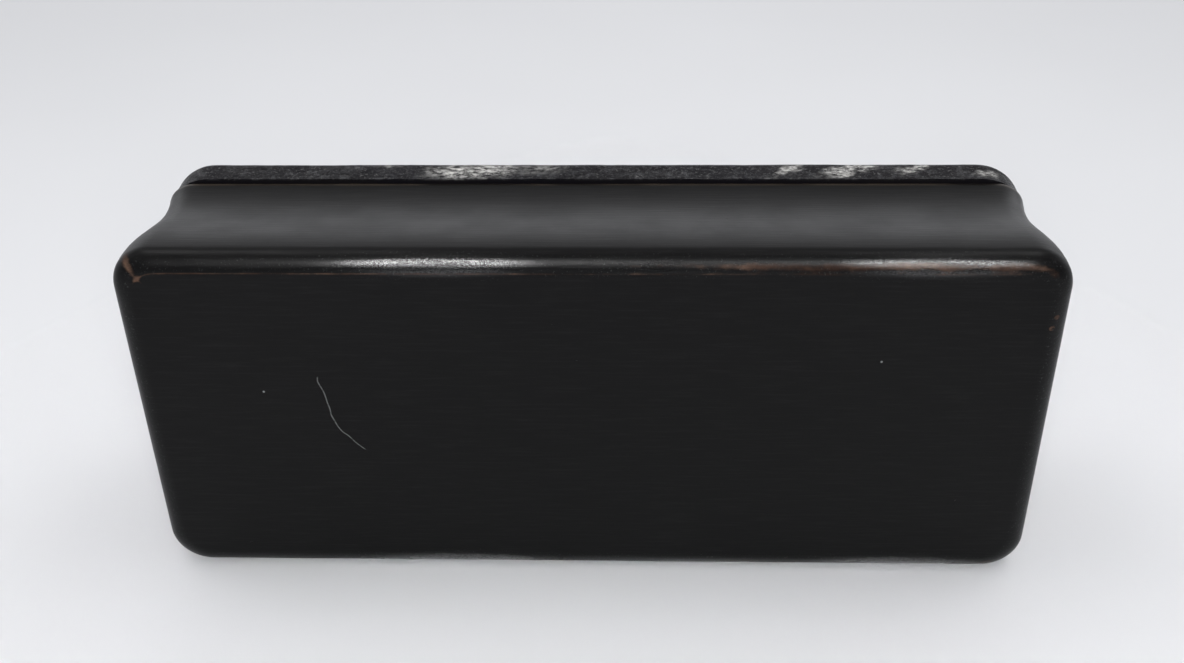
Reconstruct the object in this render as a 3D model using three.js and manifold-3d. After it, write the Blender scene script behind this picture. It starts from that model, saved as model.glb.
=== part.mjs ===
// A card dealing shoe of black lacquered wood, laid on its long side.
// It is modelled as it stands on a table (x towards the mouth, y towards its left side, z up, in mm),
// in the group "shoe", and the root group lays it on its left side with its underside facing -Y.

import * as THREE from "three";
import { mergeVertices } from "three/addons/utils/BufferGeometryUtils.js";
import Module from "manifold-3d";

const wasm = await Module();
wasm.setup();

const rad = THREE.MathUtils.degToRad;

// ---------- driving dimensions, mm ----------

// casing
const LENGTH = 300;
const WIDTH = 128;
const JOINT_Z = 56; // where the lid meets the casing
const LID_THICKNESS = 15;
const BASE_THICKNESS = 9;
const CORNER_RADIUS = 13.3; // the casing's plan corners at the base
const NECK_RADIUS = 10; // and at the neck
const EDGE_IN = 7.4; // the underside's rounded edge, measured inwards
const EDGE_UP = 6.3; // and upwards
const NECK_INSET = 4.7; // how far the moulding leans in at its narrowest
const NECK_SHARE = 0.775; // how far up the moulding that is
const EDGE_CORNER_SHARE = 0.6; // how much of the edge's inset its plan corners lose
const CORNER_STEPS = 6;
const COVE_LEVELS = 9;

// inside
const INNER_X = 134;
const INNER_Y = 50.5;
const CHANNEL_Y = 46; // half the card channel, for cards 88.9 mm long
const SLIP = 0.3; // gap beside what slides or is dropped in
const GLUE = 0.05; // gap at joints of turned or curved pieces
const PAST = 1; // how far a cutter runs past what it cuts

// lid
const LID_INSET = 2.5;
const LID_CORNER_RADIUS = 16;
const LID_EDGE_RADIUS = 5;
const LID_TOP_THICKNESS = 5;
const RECESS_X = 133;
const LINING = 0.8;

// ramp, sill and mouth
const RAMP_ANGLE = rad(2);
const RAMP_FRONT_THICKNESS = 2; // at the inside of the front wall, if it ran that far
const FELT = 1;
const SILL_BACK_X = 108;
const SILL_THICKNESS = 2;
const SILL_SETBACK = 1; // behind the casing's front end
const LIP_THICKNESS = 1.2;
const MOUTH_Y = 45;
const MOUTH_TOP_Z = 50;
const SLOT_GAP = 4.5; // card slot between lip and faceplate

// faceplate, which the cards lean on
const LEAN = rad(45); // from the horizontal
const PLATE_THICKNESS = 3;
const PLATE_FOOT_X = 124;
const PLATE_LENGTH = 52;
const NOTCH_WIDTH = 24;
const NOTCH_HEIGHT = 28;
const CLEAT = 5;
const CLEAT_OVERHANG = 2; // below the faceplate's foot
const CLEAT_SCREW_PLACES = [10, 34]; // up the faceplate from its foot

// card follower with its roller
const FOLLOWER_BACK_X = -131;
const FOLLOWER_FOOT = 64;
const FOLLOWER_HEIGHT = 40;
const FOLLOWER_LIFT = 0.8; // block above the felt; only the roller touches it
const FOLLOWER_FELT = 1.5;
const FACE_ANGLE = LEAN - RAMP_ANGLE; // from the ramp, which makes its face parallel to the faceplate
const ROLLER_RADIUS = 13;
const ROLLER_LENGTH = 60;
const ROLLER_X = 24; // from the follower's back
const ROLLER_POCKET = 1.5; // gap round the roller
const WASHER_SPACE = 1; // between each end of the roller and the block
const WASHER_RADIUS = 6;
const AXLE_RADIUS = 3;
const AXLE_LENGTH = 80;
const RUNNING_GAP = 0.08;
const GRIP_RADIUS = 6;
const GRIP_RISE = 1; // of the grip groove's axis above the block's top

// hinge, at the rear end of the lid
const HINGE_X = -147.8;
const HINGE_LENGTH = 60;
const KNUCKLES = 5;
const KNUCKLE_RADIUS = 2.1;
const KNUCKLE_GAP = 0.2;
const PIN_RADIUS = 1.2;
const LEAF_THICKNESS = 1.15;
const LEAF_FRONT_X = -136.2;
const LEAF_SCREW_X = -140.5;
const LEAF_SCREW_PITCH = 20;

// small metal parts
const SCREW_HEAD_RADIUS = 2.5;
const SCREW_RADIUS = 1.2;
const SCREW_LENGTH = 8;
const SCREW_SINK = 1.1; // height of a countersunk head
const SCREW_TAPER = 2; // length of its tip
const SCREW_TIP_SHARE = 0.4; // of the shank's radius
const MAGNET_RADIUS = 4;
const MAGNET_DEPTH = 3;
const STRIKE_RADIUS = 5;
const STRIKE_THICKNESS = 1;
const CATCH_X = 140;
const KNOB_X = 118;
const KNOB_HEIGHT = 9;
const KNOB_BORE = 4.5; // depth of its screw hole
const KNOB_PROFILE = [ // radius and height above the lid
  [0, 0],
  [4.5, 0],
  [4.2, 1.2],
  [2.8, 2.6],
  [3, 4],
  [5.4, 5.4],
  [6, 7],
  [5.2, 8.4],
  [3, KNOB_HEIGHT],
  [0, KNOB_HEIGHT],
];
const BUMPER = 2.5;
const BUMPER_DROP = 4; // below the joint

// worked out from the above
const HEIGHT = JOINT_Z + LID_THICKNESS;
const LID_INSIDE_Z = HEIGHT - LID_TOP_THICKNESS;
const LIP_TOP_Z = BASE_THICKNESS + SILL_THICKNESS + LIP_THICKNESS;

// ---------- finishes ----------

const finish = (color, roughness, metalness = 0) => ({ color, roughness, metalness });
const LACQUER = finish(0x1b1a1a, 0.42);
const LID_LACQUER = finish(0x141414, 0.22);
const BEECH = finish(0x8a5c33, 0.6);
const WALNUT = finish(0x4a2d1c, 0.5);
const BAIZE = finish(0x17402a, 0.95);
const BRASS = finish(0xb08d45, 0.3, 1);
const STEEL = finish(0xb9bcc0, 0.25, 1);
const BRONZE = finish(0x8d6a3c, 0.4, 1);

// ---------- geometry helpers ----------

// A closed geometry as a manifold-3d solid.
function solid(geometry) {
  const bare = geometry.clone();
  bare.deleteAttribute("normal");
  bare.deleteAttribute("uv");
  const merged = mergeVertices(bare, 1e-4);
  return new wasm.Manifold(
    new wasm.Mesh({
      numProp: 3,
      vertProperties: new Float32Array(merged.attributes.position.array),
      triVerts: new Uint32Array(merged.index.array),
    }),
  );
}

// A manifold-3d solid as a geometry.
function geometryOf(shape) {
  const mesh = shape.getMesh();
  const geometry = new THREE.BufferGeometry();
  geometry.setAttribute("position", new THREE.BufferAttribute(mesh.vertProperties, 3));
  geometry.setIndex(new THREE.BufferAttribute(mesh.triVerts, 1));
  geometry.computeVertexNormals();
  return geometry;
}

// A box between two corners.
function block(x0, x1, y0, y1, z0, z1) {
  const geometry = new THREE.BoxGeometry(x1 - x0, y1 - y0, z1 - z0);
  geometry.translate((x0 + x1) / 2, (y0 + y1) / 2, (z0 + z1) / 2);
  return solid(geometry);
}

// An outline of [x, z] points, given anticlockwise, drawn out along y.
function prism(points, y0, y1) {
  const shape = new THREE.Shape(points.map(([x, z]) => new THREE.Vector2(x, z)));
  const geometry = new THREE.ExtrudeGeometry(shape, { depth: y1 - y0, bevelEnabled: false });
  geometry.rotateX(Math.PI / 2);
  geometry.translate(0, y1, 0);
  return solid(geometry);
}

// A round bar along y.
function barY(x, z, y0, y1, radius, sides = 24) {
  const geometry = new THREE.CylinderGeometry(radius, radius, y1 - y0, sides);
  geometry.translate(x, (y0 + y1) / 2, z);
  return solid(geometry);
}

// A turned piece with its axis along z: its profile of [radius, z] points runs upwards from axis to axis.
function turned(profile, sides = 20) {
  const points = profile.map(([radius, z]) => new THREE.Vector2(radius, z));
  const geometry = new THREE.LatheGeometry(points, sides);
  geometry.rotateX(Math.PI / 2);
  return solid(geometry);
}

// A round disc, bar or hole with its axis along z, on the shoe's middle plane.
function disc(x, z0, z1, radius) {
  return turned(
    [
      [0, z0],
      [radius, z0],
      [radius, z1],
      [0, z1],
    ],
    20,
  ).translate([x, 0, 0]);
}

// A rounded rectangle's corner points, anticlockwise, the same number for any size.
function roundedRectangle(halfX, halfY, radius) {
  const points = [];
  const corners = [
    [1, 1],
    [-1, 1],
    [-1, -1],
    [1, -1],
  ];
  corners.forEach(([sideX, sideY], quarter) => {
    for (let step = 0; step <= CORNER_STEPS; step += 1) {
      const angle = (quarter + step / CORNER_STEPS) * (Math.PI / 2);
      points.push([
        sideX * (halfX - radius) + radius * Math.cos(angle),
        sideY * (halfY - radius) + radius * Math.sin(angle),
      ]);
    }
  });
  return points;
}

// A closed solid through level rounded rectangles, each { z, halfX, halfY, radius }, from the lowest up.
function loft(levels) {
  const rings = levels.map(({ halfX, halfY, radius }) => roundedRectangle(halfX, halfY, radius));
  const count = rings[0].length;
  const positions = [];
  const index = [];
  rings.forEach((ring, level) => {
    ring.forEach(([x, y]) => positions.push(x, y, levels[level].z));
  });
  for (let level = 0; level + 1 < rings.length; level += 1) {
    for (let i = 0; i < count; i += 1) {
      const a = level * count + i;
      const b = level * count + ((i + 1) % count);
      index.push(a, b, b + count);
      index.push(a, b + count, a + count);
    }
  }
  const last = (rings.length - 1) * count;
  for (let i = 1; i + 1 < count; i += 1) {
    index.push(0, i + 1, i);
    index.push(last, last + i, last + i + 1);
  }
  const geometry = new THREE.BufferGeometry();
  geometry.setAttribute("position", new THREE.Float32BufferAttribute(positions, 3));
  geometry.setIndex(index);
  return solid(geometry);
}

function add(group, name, shape, look) {
  const mesh = new THREE.Mesh(geometryOf(shape), new THREE.MeshStandardMaterial(look));
  mesh.name = name;
  group.add(mesh);
  return mesh;
}

// ---------- casing ----------

// How far the moulding stands in from the base's outline, at a share of the way up.
const coveInset = (share) => NECK_INSET * Math.sin(((Math.PI / 2) * share) / NECK_SHARE) ** 2;

function casingLevels() {
  const levels = [];
  const level = (z, inset, radius) => {
    levels.push({ z, halfX: LENGTH / 2 - inset, halfY: WIDTH / 2 - inset, radius });
  };
  const edgeSteps = 5;
  for (let step = 0; step <= edgeSteps; step += 1) {
    const angle = (step / edgeSteps) * (Math.PI / 2);
    const inset = EDGE_IN * (1 - Math.sin(angle));
    level(EDGE_UP * (1 - Math.cos(angle)), inset, CORNER_RADIUS - EDGE_CORNER_SHARE * inset);
  }
  for (let step = 1; step <= COVE_LEVELS; step += 1) {
    const share = step / COVE_LEVELS;
    const radius = THREE.MathUtils.lerp(
      CORNER_RADIUS,
      NECK_RADIUS,
      Math.min(share / NECK_SHARE, 1),
    );
    level(EDGE_UP + (JOINT_Z - EDGE_UP) * share, coveInset(share), radius);
  }
  return levels;
}

// A hollow all round the hinge's pin, so that its knuckles turn free of the wood.
const hingeClearance = () =>
  barY(
    HINGE_X,
    JOINT_Z,
    -HINGE_LENGTH / 2 - SLIP,
    HINGE_LENGTH / 2 + SLIP,
    KNUCKLE_RADIUS + SLIP,
    16,
  );

const leafSeat = (z0, z1) =>
  block(
    HINGE_X,
    LEAF_FRONT_X + SLIP,
    -HINGE_LENGTH / 2 - SLIP,
    HINGE_LENGTH / 2 + SLIP,
    z0,
    z1,
  );

const hingeScrewPlaces = [-LEAF_SCREW_PITCH, 0, LEAF_SCREW_PITCH];

function buildCasing(shoe) {
  const body = loft(casingLevels());
  const walls = body.intersect(
    block(-LENGTH, LENGTH, -WIDTH, WIDTH, BASE_THICKNESS, JOINT_Z + PAST),
  );
  const base = body.intersect(block(-LENGTH, LENGTH, -WIDTH, WIDTH, -PAST, BASE_THICKNESS));
  add(shoe, "base_board", base, LACQUER);

  const tall = [BASE_THICKNESS - PAST, JOINT_Z + PAST];
  const leftSide = block(-LENGTH, LENGTH, INNER_Y, WIDTH, ...tall);
  const rightSide = block(-LENGTH, LENGTH, -WIDTH, -INNER_Y, ...tall);
  add(shoe, "left_side_wall", walls.intersect(leftSide), LACQUER);
  add(shoe, "right_side_wall", walls.intersect(rightSide), LACQUER);

  let rear = walls.intersect(block(-LENGTH, -INNER_X, -INNER_Y, INNER_Y, ...tall));
  rear = rear.subtract(leafSeat(JOINT_Z - LEAF_THICKNESS - 2 * GLUE, JOINT_Z + PAST));
  rear = rear.subtract(hingeClearance());
  for (const y of hingeScrewPlaces) {
    const foot = JOINT_Z - SCREW_LENGTH - PAST;
    const hole = disc(LEAF_SCREW_X, foot, JOINT_Z + PAST, SCREW_RADIUS + SLIP);
    rear = rear.subtract(hole.translate([0, y, 0]));
  }
  add(shoe, "rear_wall", rear, LACQUER);

  let front = walls.intersect(block(INNER_X, LENGTH, -INNER_Y, INNER_Y, ...tall));
  front = front.subtract(
    block(INNER_X - PAST, LENGTH, -MOUTH_Y, MOUTH_Y, BASE_THICKNESS - PAST, MOUTH_TOP_Z),
  );
  const magnetFoot = JOINT_Z - MAGNET_DEPTH - 2 * GLUE;
  const magnetHole = disc(CATCH_X, magnetFoot, JOINT_Z + PAST, MAGNET_RADIUS + 2 * GLUE);
  add(shoe, "front_wall", front.subtract(magnetHole), LACQUER);
}

// ---------- what is fixed inside ----------

// Height of the ramp's bare wood at x.
const rampZ = (x) =>
  BASE_THICKNESS + RAMP_FRONT_THICKNESS + (INNER_X - x) * Math.tan(RAMP_ANGLE);

function buildRamp(shoe) {
  const ramp = [
    [-INNER_X, BASE_THICKNESS],
    [SILL_BACK_X, BASE_THICKNESS],
    [SILL_BACK_X, rampZ(SILL_BACK_X)],
    [-INNER_X, rampZ(-INNER_X)],
  ];
  add(shoe, "ramp_board", prism(ramp, -CHANNEL_Y, CHANNEL_Y), BEECH);

  const feltBack = -INNER_X + BUMPER;
  const felt = [
    [feltBack, rampZ(feltBack) + GLUE],
    [SILL_BACK_X, rampZ(SILL_BACK_X) + GLUE],
    [SILL_BACK_X, rampZ(SILL_BACK_X) + FELT],
    [feltBack, rampZ(feltBack) + FELT],
  ];
  add(shoe, "ramp_felt", prism(felt, -CHANNEL_Y + SLIP, CHANNEL_Y - SLIP), BAIZE);

  const sillTop = BASE_THICKNESS + SILL_THICKNESS;
  const sillFront = LENGTH / 2 - SILL_SETBACK;
  const sill = prism(
    [
      [SILL_BACK_X + SLIP, BASE_THICKNESS],
      [sillFront, BASE_THICKNESS],
      [sillFront, sillTop],
      [SILL_BACK_X + SLIP, sillTop],
    ],
    -MOUTH_Y,
    MOUTH_Y,
  );
  add(shoe, "sill_block", sill, LACQUER);

  const nose = sillFront - LIP_THICKNESS / 2;
  const lip = [
    [SILL_BACK_X + SLIP, sillTop],
    [nose, sillTop],
    [sillFront, sillTop + LIP_THICKNESS / 2],
    [nose, LIP_TOP_Z],
    [SILL_BACK_X + SLIP, LIP_TOP_Z],
  ];
  add(shoe, "mouth_lip", prism(lip, -MOUTH_Y + SLIP, MOUTH_Y - SLIP), BRASS);

  const bumper = block(
    -INNER_X,
    -INNER_X + BUMPER,
    -CHANNEL_Y / 2,
    CHANNEL_Y / 2,
    rampZ(-INNER_X) + FELT,
    JOINT_Z - BUMPER_DROP,
  );
  add(shoe, "rear_bumper", bumper, BAIZE);
}

// A point on the faceplate: u up along its card side from the foot, v out towards the dealer.
const plateFootZ = LIP_TOP_Z + SLOT_GAP;
const platePoint = (u, v) => [
  PLATE_FOOT_X - u * Math.cos(LEAN) + v * Math.sin(LEAN),
  plateFootZ + u * Math.sin(LEAN) + v * Math.cos(LEAN),
];

// An upright countersunk screw with its head's top at z = 0.
const screwShape = () =>
  turned(
    [
      [0, -SCREW_LENGTH],
      [SCREW_RADIUS * SCREW_TIP_SHARE, -SCREW_LENGTH],
      [SCREW_RADIUS, -SCREW_LENGTH + SCREW_TAPER],
      [SCREW_RADIUS, -SCREW_SINK],
      [SCREW_HEAD_RADIUS, 0],
      [0, 0],
    ],
    16,
  );

// The hole in a leaf that such a screw sits in.
const sinkShape = () =>
  turned(
    [
      [0, -SCREW_LENGTH],
      [SCREW_RADIUS + 2 * GLUE, -SCREW_LENGTH],
      [SCREW_RADIUS + 2 * GLUE, -SCREW_SINK],
      [SCREW_HEAD_RADIUS + 4 * GLUE, 0],
      [SCREW_HEAD_RADIUS + 4 * GLUE, PAST],
      [0, PAST],
    ],
    16,
  );

function buildFaceplate(shoe) {
  for (const [side, name] of [
    [1, "left"],
    [-1, "right"],
  ]) {
    let guide = block(
      -INNER_X,
      INNER_X,
      side > 0 ? CHANNEL_Y : -INNER_Y,
      side > 0 ? INNER_Y : -CHANNEL_Y,
      BASE_THICKNESS,
      JOINT_Z,
    );
    let cleat = prism(
      [
        platePoint(-CLEAT_OVERHANG, PLATE_THICKNESS + GLUE),
        platePoint(-CLEAT_OVERHANG, PLATE_THICKNESS + CLEAT),
        platePoint(PLATE_LENGTH - CLEAT, PLATE_THICKNESS + CLEAT),
        platePoint(PLATE_LENGTH - CLEAT, PLATE_THICKNESS + GLUE),
      ],
      side > 0 ? CHANNEL_Y - CLEAT : -CHANNEL_Y,
      side > 0 ? CHANNEL_Y : -CHANNEL_Y + CLEAT,
    );
    CLEAT_SCREW_PLACES.forEach((place, index) => {
      const [x, z] = platePoint(place, PLATE_THICKNESS + CLEAT / 2);
      const headY = side * (CHANNEL_Y - CLEAT);
      const onto = (shape) =>
        shape.rotate([side * 90, 0, 0]).translate([x, headY, z]);
      cleat = cleat.subtract(onto(sinkShape()));
      guide = guide.subtract(onto(sinkShape()));
      add(shoe, `cleat_screw_${name}_${index + 1}`, onto(screwShape()), BRASS);
    });
    add(shoe, `${name}_guide_board`, guide, BEECH);
    add(shoe, `faceplate_cleat_${name}`, cleat, WALNUT);
  }

  // The plate is drawn flat, with its finger notch open at the foot, and then leant back.
  const half = CHANNEL_Y - SLIP;
  const notch = NOTCH_WIDTH / 2;
  const outline = new THREE.Shape();
  outline.moveTo(half, 0);
  outline.lineTo(half, PLATE_LENGTH);
  outline.lineTo(-half, PLATE_LENGTH);
  outline.lineTo(-half, 0);
  outline.lineTo(-notch, 0);
  outline.lineTo(-notch, NOTCH_HEIGHT - notch);
  outline.absarc(0, NOTCH_HEIGHT - notch, notch, Math.PI, 0, true);
  outline.lineTo(notch, 0);
  const geometry = new THREE.ExtrudeGeometry(outline, {
    depth: PLATE_THICKNESS,
    bevelEnabled: false,
    curveSegments: 12,
  });
  const [footX, footZ] = platePoint(0, 0);
  const up = new THREE.Vector3(-Math.cos(LEAN), 0, Math.sin(LEAN));
  const out = new THREE.Vector3(Math.sin(LEAN), 0, Math.cos(LEAN));
  const across = new THREE.Vector3().crossVectors(up, out);
  const place = new THREE.Matrix4().makeBasis(across, up, out).setPosition(footX, 0, footZ);
  geometry.applyMatrix4(place);
  add(shoe, "faceplate", solid(geometry), WALNUT);
}

// ---------- hinge ----------

// One leaf with its knuckles; the knuckles with an even place belong to the casing's leaf.
function hingeLeaf(own, z0, z1) {
  const pitch = HINGE_LENGTH / KNUCKLES;
  const plateBack = HINGE_X + KNUCKLE_RADIUS + SLIP;
  let leaf = block(plateBack, LEAF_FRONT_X, -HINGE_LENGTH / 2, HINGE_LENGTH / 2, z0, z1);
  for (let place = own; place < KNUCKLES; place += 2) {
    const y0 = -HINGE_LENGTH / 2 + place * pitch + KNUCKLE_GAP;
    const y1 = y0 + pitch - 2 * KNUCKLE_GAP;
    leaf = leaf.add(block(HINGE_X, plateBack + PAST, y0, y1, z0, z1));
    leaf = leaf.add(barY(HINGE_X, JOINT_Z, y0, y1, KNUCKLE_RADIUS));
  }
  const bore = PIN_RADIUS + RUNNING_GAP;
  leaf = leaf.subtract(barY(HINGE_X, JOINT_Z, -HINGE_LENGTH, HINGE_LENGTH, bore));
  for (const y of hingeScrewPlaces) {
    const hole = own === 0 ? sinkShape() : sinkShape().rotate([180, 0, 0]);
    leaf = leaf.subtract(hole.translate([LEAF_SCREW_X, y, own === 0 ? z1 : z0]));
  }
  return leaf;
}

function buildHinge(shoe, lid) {
  const bodyTop = JOINT_Z - GLUE;
  const lidBottom = JOINT_Z + GLUE;
  add(shoe, "hinge_leaf_casing", hingeLeaf(0, bodyTop - LEAF_THICKNESS, bodyTop), BRASS);
  add(lid, "hinge_leaf_lid", hingeLeaf(1, lidBottom, lidBottom + LEAF_THICKNESS), BRASS);
  const pin = barY(HINGE_X, JOINT_Z, -HINGE_LENGTH / 2, HINGE_LENGTH / 2, PIN_RADIUS);
  add(shoe, "hinge_pin", pin, STEEL);
  hingeScrewPlaces.forEach((y, index) => {
    const down = screwShape().translate([LEAF_SCREW_X, y, bodyTop - GLUE]);
    const up = screwShape().rotate([180, 0, 0]);
    add(shoe, `casing_leaf_screw_${index + 1}`, down, BRASS);
    add(
      lid,
      `lid_leaf_screw_${index + 1}`,
      up.translate([LEAF_SCREW_X, y, lidBottom + GLUE]),
      BRASS,
    );
  });
}

// ---------- lid ----------

function buildLid(lid) {
  const levels = [];
  const level = (z, inset) => {
    levels.push({
      z,
      halfX: LENGTH / 2 - LID_INSET - inset,
      halfY: WIDTH / 2 - LID_INSET - inset,
      radius: LID_CORNER_RADIUS - inset / 2,
    });
  };
  level(JOINT_Z, 0);
  const edgeSteps = 4;
  for (let step = 0; step <= edgeSteps; step += 1) {
    const angle = (step / edgeSteps) * (Math.PI / 2);
    level(
      HEIGHT - LID_EDGE_RADIUS + LID_EDGE_RADIUS * Math.sin(angle),
      LID_EDGE_RADIUS * (1 - Math.cos(angle)),
    );
  }
  let board = loft(levels);
  board = board.subtract(
    block(-RECESS_X, RECESS_X, -CHANNEL_Y, CHANNEL_Y, JOINT_Z - PAST, LID_INSIDE_Z),
  );
  board = board.subtract(leafSeat(JOINT_Z - PAST, JOINT_Z + LEAF_THICKNESS + 2 * GLUE));
  board = board.subtract(hingeClearance());
  for (const y of hingeScrewPlaces) {
    const head = JOINT_Z + SCREW_LENGTH + PAST;
    const hole = disc(LEAF_SCREW_X, JOINT_Z - PAST, head, SCREW_RADIUS + SLIP);
    board = board.subtract(hole.translate([0, y, 0]));
  }
  const strikeTop = JOINT_Z + GLUE + STRIKE_THICKNESS;
  board = board.subtract(disc(CATCH_X, JOINT_Z - PAST, strikeTop + GLUE, STRIKE_RADIUS + 2 * GLUE));
  board = board.subtract(disc(KNOB_X, LID_INSIDE_Z - PAST, HEIGHT + PAST, SCREW_RADIUS + SLIP));
  const knobSinkTop = LID_INSIDE_Z + SCREW_SINK + GLUE;
  board = board.subtract(
    disc(KNOB_X, LID_INSIDE_Z - PAST, knobSinkTop, SCREW_HEAD_RADIUS + 4 * GLUE),
  );
  add(lid, "lid_board", board, LID_LACQUER);

  const lining = block(
    -RECESS_X + SLIP,
    RECESS_X - SLIP,
    -CHANNEL_Y + SLIP,
    CHANNEL_Y - SLIP,
    LID_INSIDE_Z - LINING,
    LID_INSIDE_Z - GLUE,
  );
  add(lid, "lid_lining", lining, BAIZE);
  add(lid, "strike_plate", disc(CATCH_X, JOINT_Z + GLUE, strikeTop, STRIKE_RADIUS), STEEL);

  const knobBore = SCREW_RADIUS + 2 * GLUE;
  const knob = turned(KNOB_PROFILE, 24).translate([KNOB_X, 0, HEIGHT]);
  const bored = knob.subtract(disc(KNOB_X, HEIGHT - PAST, HEIGHT + KNOB_BORE, knobBore));
  add(lid, "lid_knob", bored, BRASS);
  const knobScrew = screwShape().rotate([180, 0, 0]);
  add(lid, "lid_knob_screw", knobScrew.translate([KNOB_X, 0, LID_INSIDE_Z + GLUE]), STEEL);
}

function buildCatch(shoe) {
  const top = JOINT_Z - GLUE;
  add(shoe, "catch_magnet", disc(CATCH_X, top - MAGNET_DEPTH, top, MAGNET_RADIUS), STEEL);
}

// ---------- card follower ----------

// Both groups have x forwards along the ramp and z square to it, from the felt under the follower's back.
function followerGroup() {
  const group = new THREE.Group();
  const feltUp = FELT / Math.cos(RAMP_ANGLE);
  group.position.set(FOLLOWER_BACK_X, 0, rampZ(FOLLOWER_BACK_X) + feltUp);
  group.rotation.y = RAMP_ANGLE;
  return group;
}

function buildFollower(follower, roller) {
  const slope = 1 / Math.tan(FACE_ANGLE);
  const top = FOLLOWER_LIFT + FOLLOWER_HEIGHT;
  const topFront = FOLLOWER_FOOT - FOLLOWER_HEIGHT * slope;
  const half = CHANNEL_Y - 2 * SLIP;
  const axleZ = ROLLER_RADIUS + GLUE;
  const pocketRadius = ROLLER_RADIUS + ROLLER_POCKET;
  const pocketHalf = ROLLER_LENGTH / 2 + WASHER_SPACE;

  let wedge = prism(
    [
      [0, FOLLOWER_LIFT],
      [FOLLOWER_FOOT, FOLLOWER_LIFT],
      [topFront, top],
      [0, top],
    ],
    -half,
    half,
  );
  wedge = wedge.subtract(barY(ROLLER_X, axleZ, -pocketHalf, pocketHalf, pocketRadius, 32));
  wedge = wedge.subtract(
    block(
      ROLLER_X - pocketRadius,
      ROLLER_X + pocketRadius,
      -pocketHalf,
      pocketHalf,
      -PAST,
      axleZ,
    ),
  );
  const axleHalf = AXLE_LENGTH / 2;
  wedge = wedge.subtract(
    barY(ROLLER_X, axleZ, -axleHalf - SLIP, axleHalf + SLIP, AXLE_RADIUS + 3 * GLUE),
  );
  wedge = wedge.subtract(barY(topFront / 2, top + GRIP_RISE, -half - PAST, half + PAST, GRIP_RADIUS, 20));
  add(follower, "follower_block", wedge, WALNUT);

  const forward = FOLLOWER_FELT / Math.sin(FACE_ANGLE);
  const gap = 2 * GLUE;
  const felt = prism(
    [
      [FOLLOWER_FOOT + gap, FOLLOWER_LIFT],
      [FOLLOWER_FOOT + forward, FOLLOWER_LIFT],
      [topFront + forward, top],
      [topFront + gap, top],
    ],
    -half,
    half,
  );
  add(follower, "follower_felt", felt, BAIZE);
  add(
    follower,
    "roller_axle",
    barY(ROLLER_X, axleZ, -axleHalf, axleHalf, AXLE_RADIUS),
    STEEL,
  );
  const bore = AXLE_RADIUS + RUNNING_GAP;
  const rollerHalf = ROLLER_LENGTH / 2;
  for (const [side, name] of [
    [1, "left"],
    [-1, "right"],
  ]) {
    const inner = rollerHalf + GLUE;
    const outer = pocketHalf - GLUE;
    const y0 = side > 0 ? inner : -outer;
    const y1 = side > 0 ? outer : -inner;
    const washer = barY(ROLLER_X, axleZ, y0, y1, WASHER_RADIUS);
    const hole = barY(ROLLER_X, axleZ, y0 - PAST, y1 + PAST, AXLE_RADIUS + 3 * GLUE);
    add(follower, `roller_washer_${name}`, washer.subtract(hole), BRONZE);
  }
  const drum = barY(ROLLER_X, axleZ, -rollerHalf, rollerHalf, ROLLER_RADIUS, 48);
  const drumBore = barY(ROLLER_X, axleZ, -ROLLER_LENGTH, ROLLER_LENGTH, bore);
  add(roller, "roller", drum.subtract(drumBore), STEEL);
}

// ---------- the whole shoe ----------

const shoe = new THREE.Group();
const lid = new THREE.Group();
const follower = followerGroup();
const roller = followerGroup();

buildCasing(shoe);
buildRamp(shoe);
buildFaceplate(shoe);
buildCatch(shoe);
buildHinge(shoe, lid);
buildLid(lid);
buildFollower(follower, roller);
shoe.add(lid, follower, roller);

// Laid on its left side, centred over the origin.
shoe.rotation.x = -Math.PI / 2;
shoe.position.set(0, -(HEIGHT + KNOB_HEIGHT) / 2, WIDTH / 2);

const root = new THREE.Group();
root.add(shoe);

export default root;
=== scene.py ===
"""The look of a black lacquered card dealing shoe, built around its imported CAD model.

The row frame: x runs along the shoe towards its mouth, -y is the way its underside faces, and z is up.
Lengths are in metres.
"""

import math

import bmesh
import bpy
from mathutils import Matrix, Vector, noise


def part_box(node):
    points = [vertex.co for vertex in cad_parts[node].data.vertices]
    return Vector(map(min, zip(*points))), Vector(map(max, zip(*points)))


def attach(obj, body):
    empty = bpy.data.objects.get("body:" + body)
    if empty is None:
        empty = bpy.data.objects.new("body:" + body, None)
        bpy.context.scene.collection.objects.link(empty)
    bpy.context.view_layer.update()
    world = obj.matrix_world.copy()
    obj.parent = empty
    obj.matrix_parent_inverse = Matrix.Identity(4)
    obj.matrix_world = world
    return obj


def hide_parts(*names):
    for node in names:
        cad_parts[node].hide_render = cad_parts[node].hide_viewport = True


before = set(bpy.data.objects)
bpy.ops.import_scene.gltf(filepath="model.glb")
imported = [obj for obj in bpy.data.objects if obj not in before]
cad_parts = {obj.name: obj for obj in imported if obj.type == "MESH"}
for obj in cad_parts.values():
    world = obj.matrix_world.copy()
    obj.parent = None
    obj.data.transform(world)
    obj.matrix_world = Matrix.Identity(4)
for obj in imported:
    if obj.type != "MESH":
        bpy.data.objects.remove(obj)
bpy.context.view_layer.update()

MM = 0.001

# ---------- sizes, from the frame ----------

BASE_LOW, BASE_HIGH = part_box("base_board")
LID_LOW, LID_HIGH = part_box("lid_board")
FRONT_LOW, FRONT_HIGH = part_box("front_wall")
_, REAR_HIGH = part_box("rear_wall")
SILL_LOW, SILL_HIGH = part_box("sill_block")
LINING_LOW, LINING_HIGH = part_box("lid_lining")
LEAF_LOW, LEAF_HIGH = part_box("hinge_leaf_casing")
PIN_LOW, PIN_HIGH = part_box("hinge_pin")
MAGNET_LOW, MAGNET_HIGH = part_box("catch_magnet")
STRIKE_LOW, STRIKE_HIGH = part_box("strike_plate")

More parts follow.
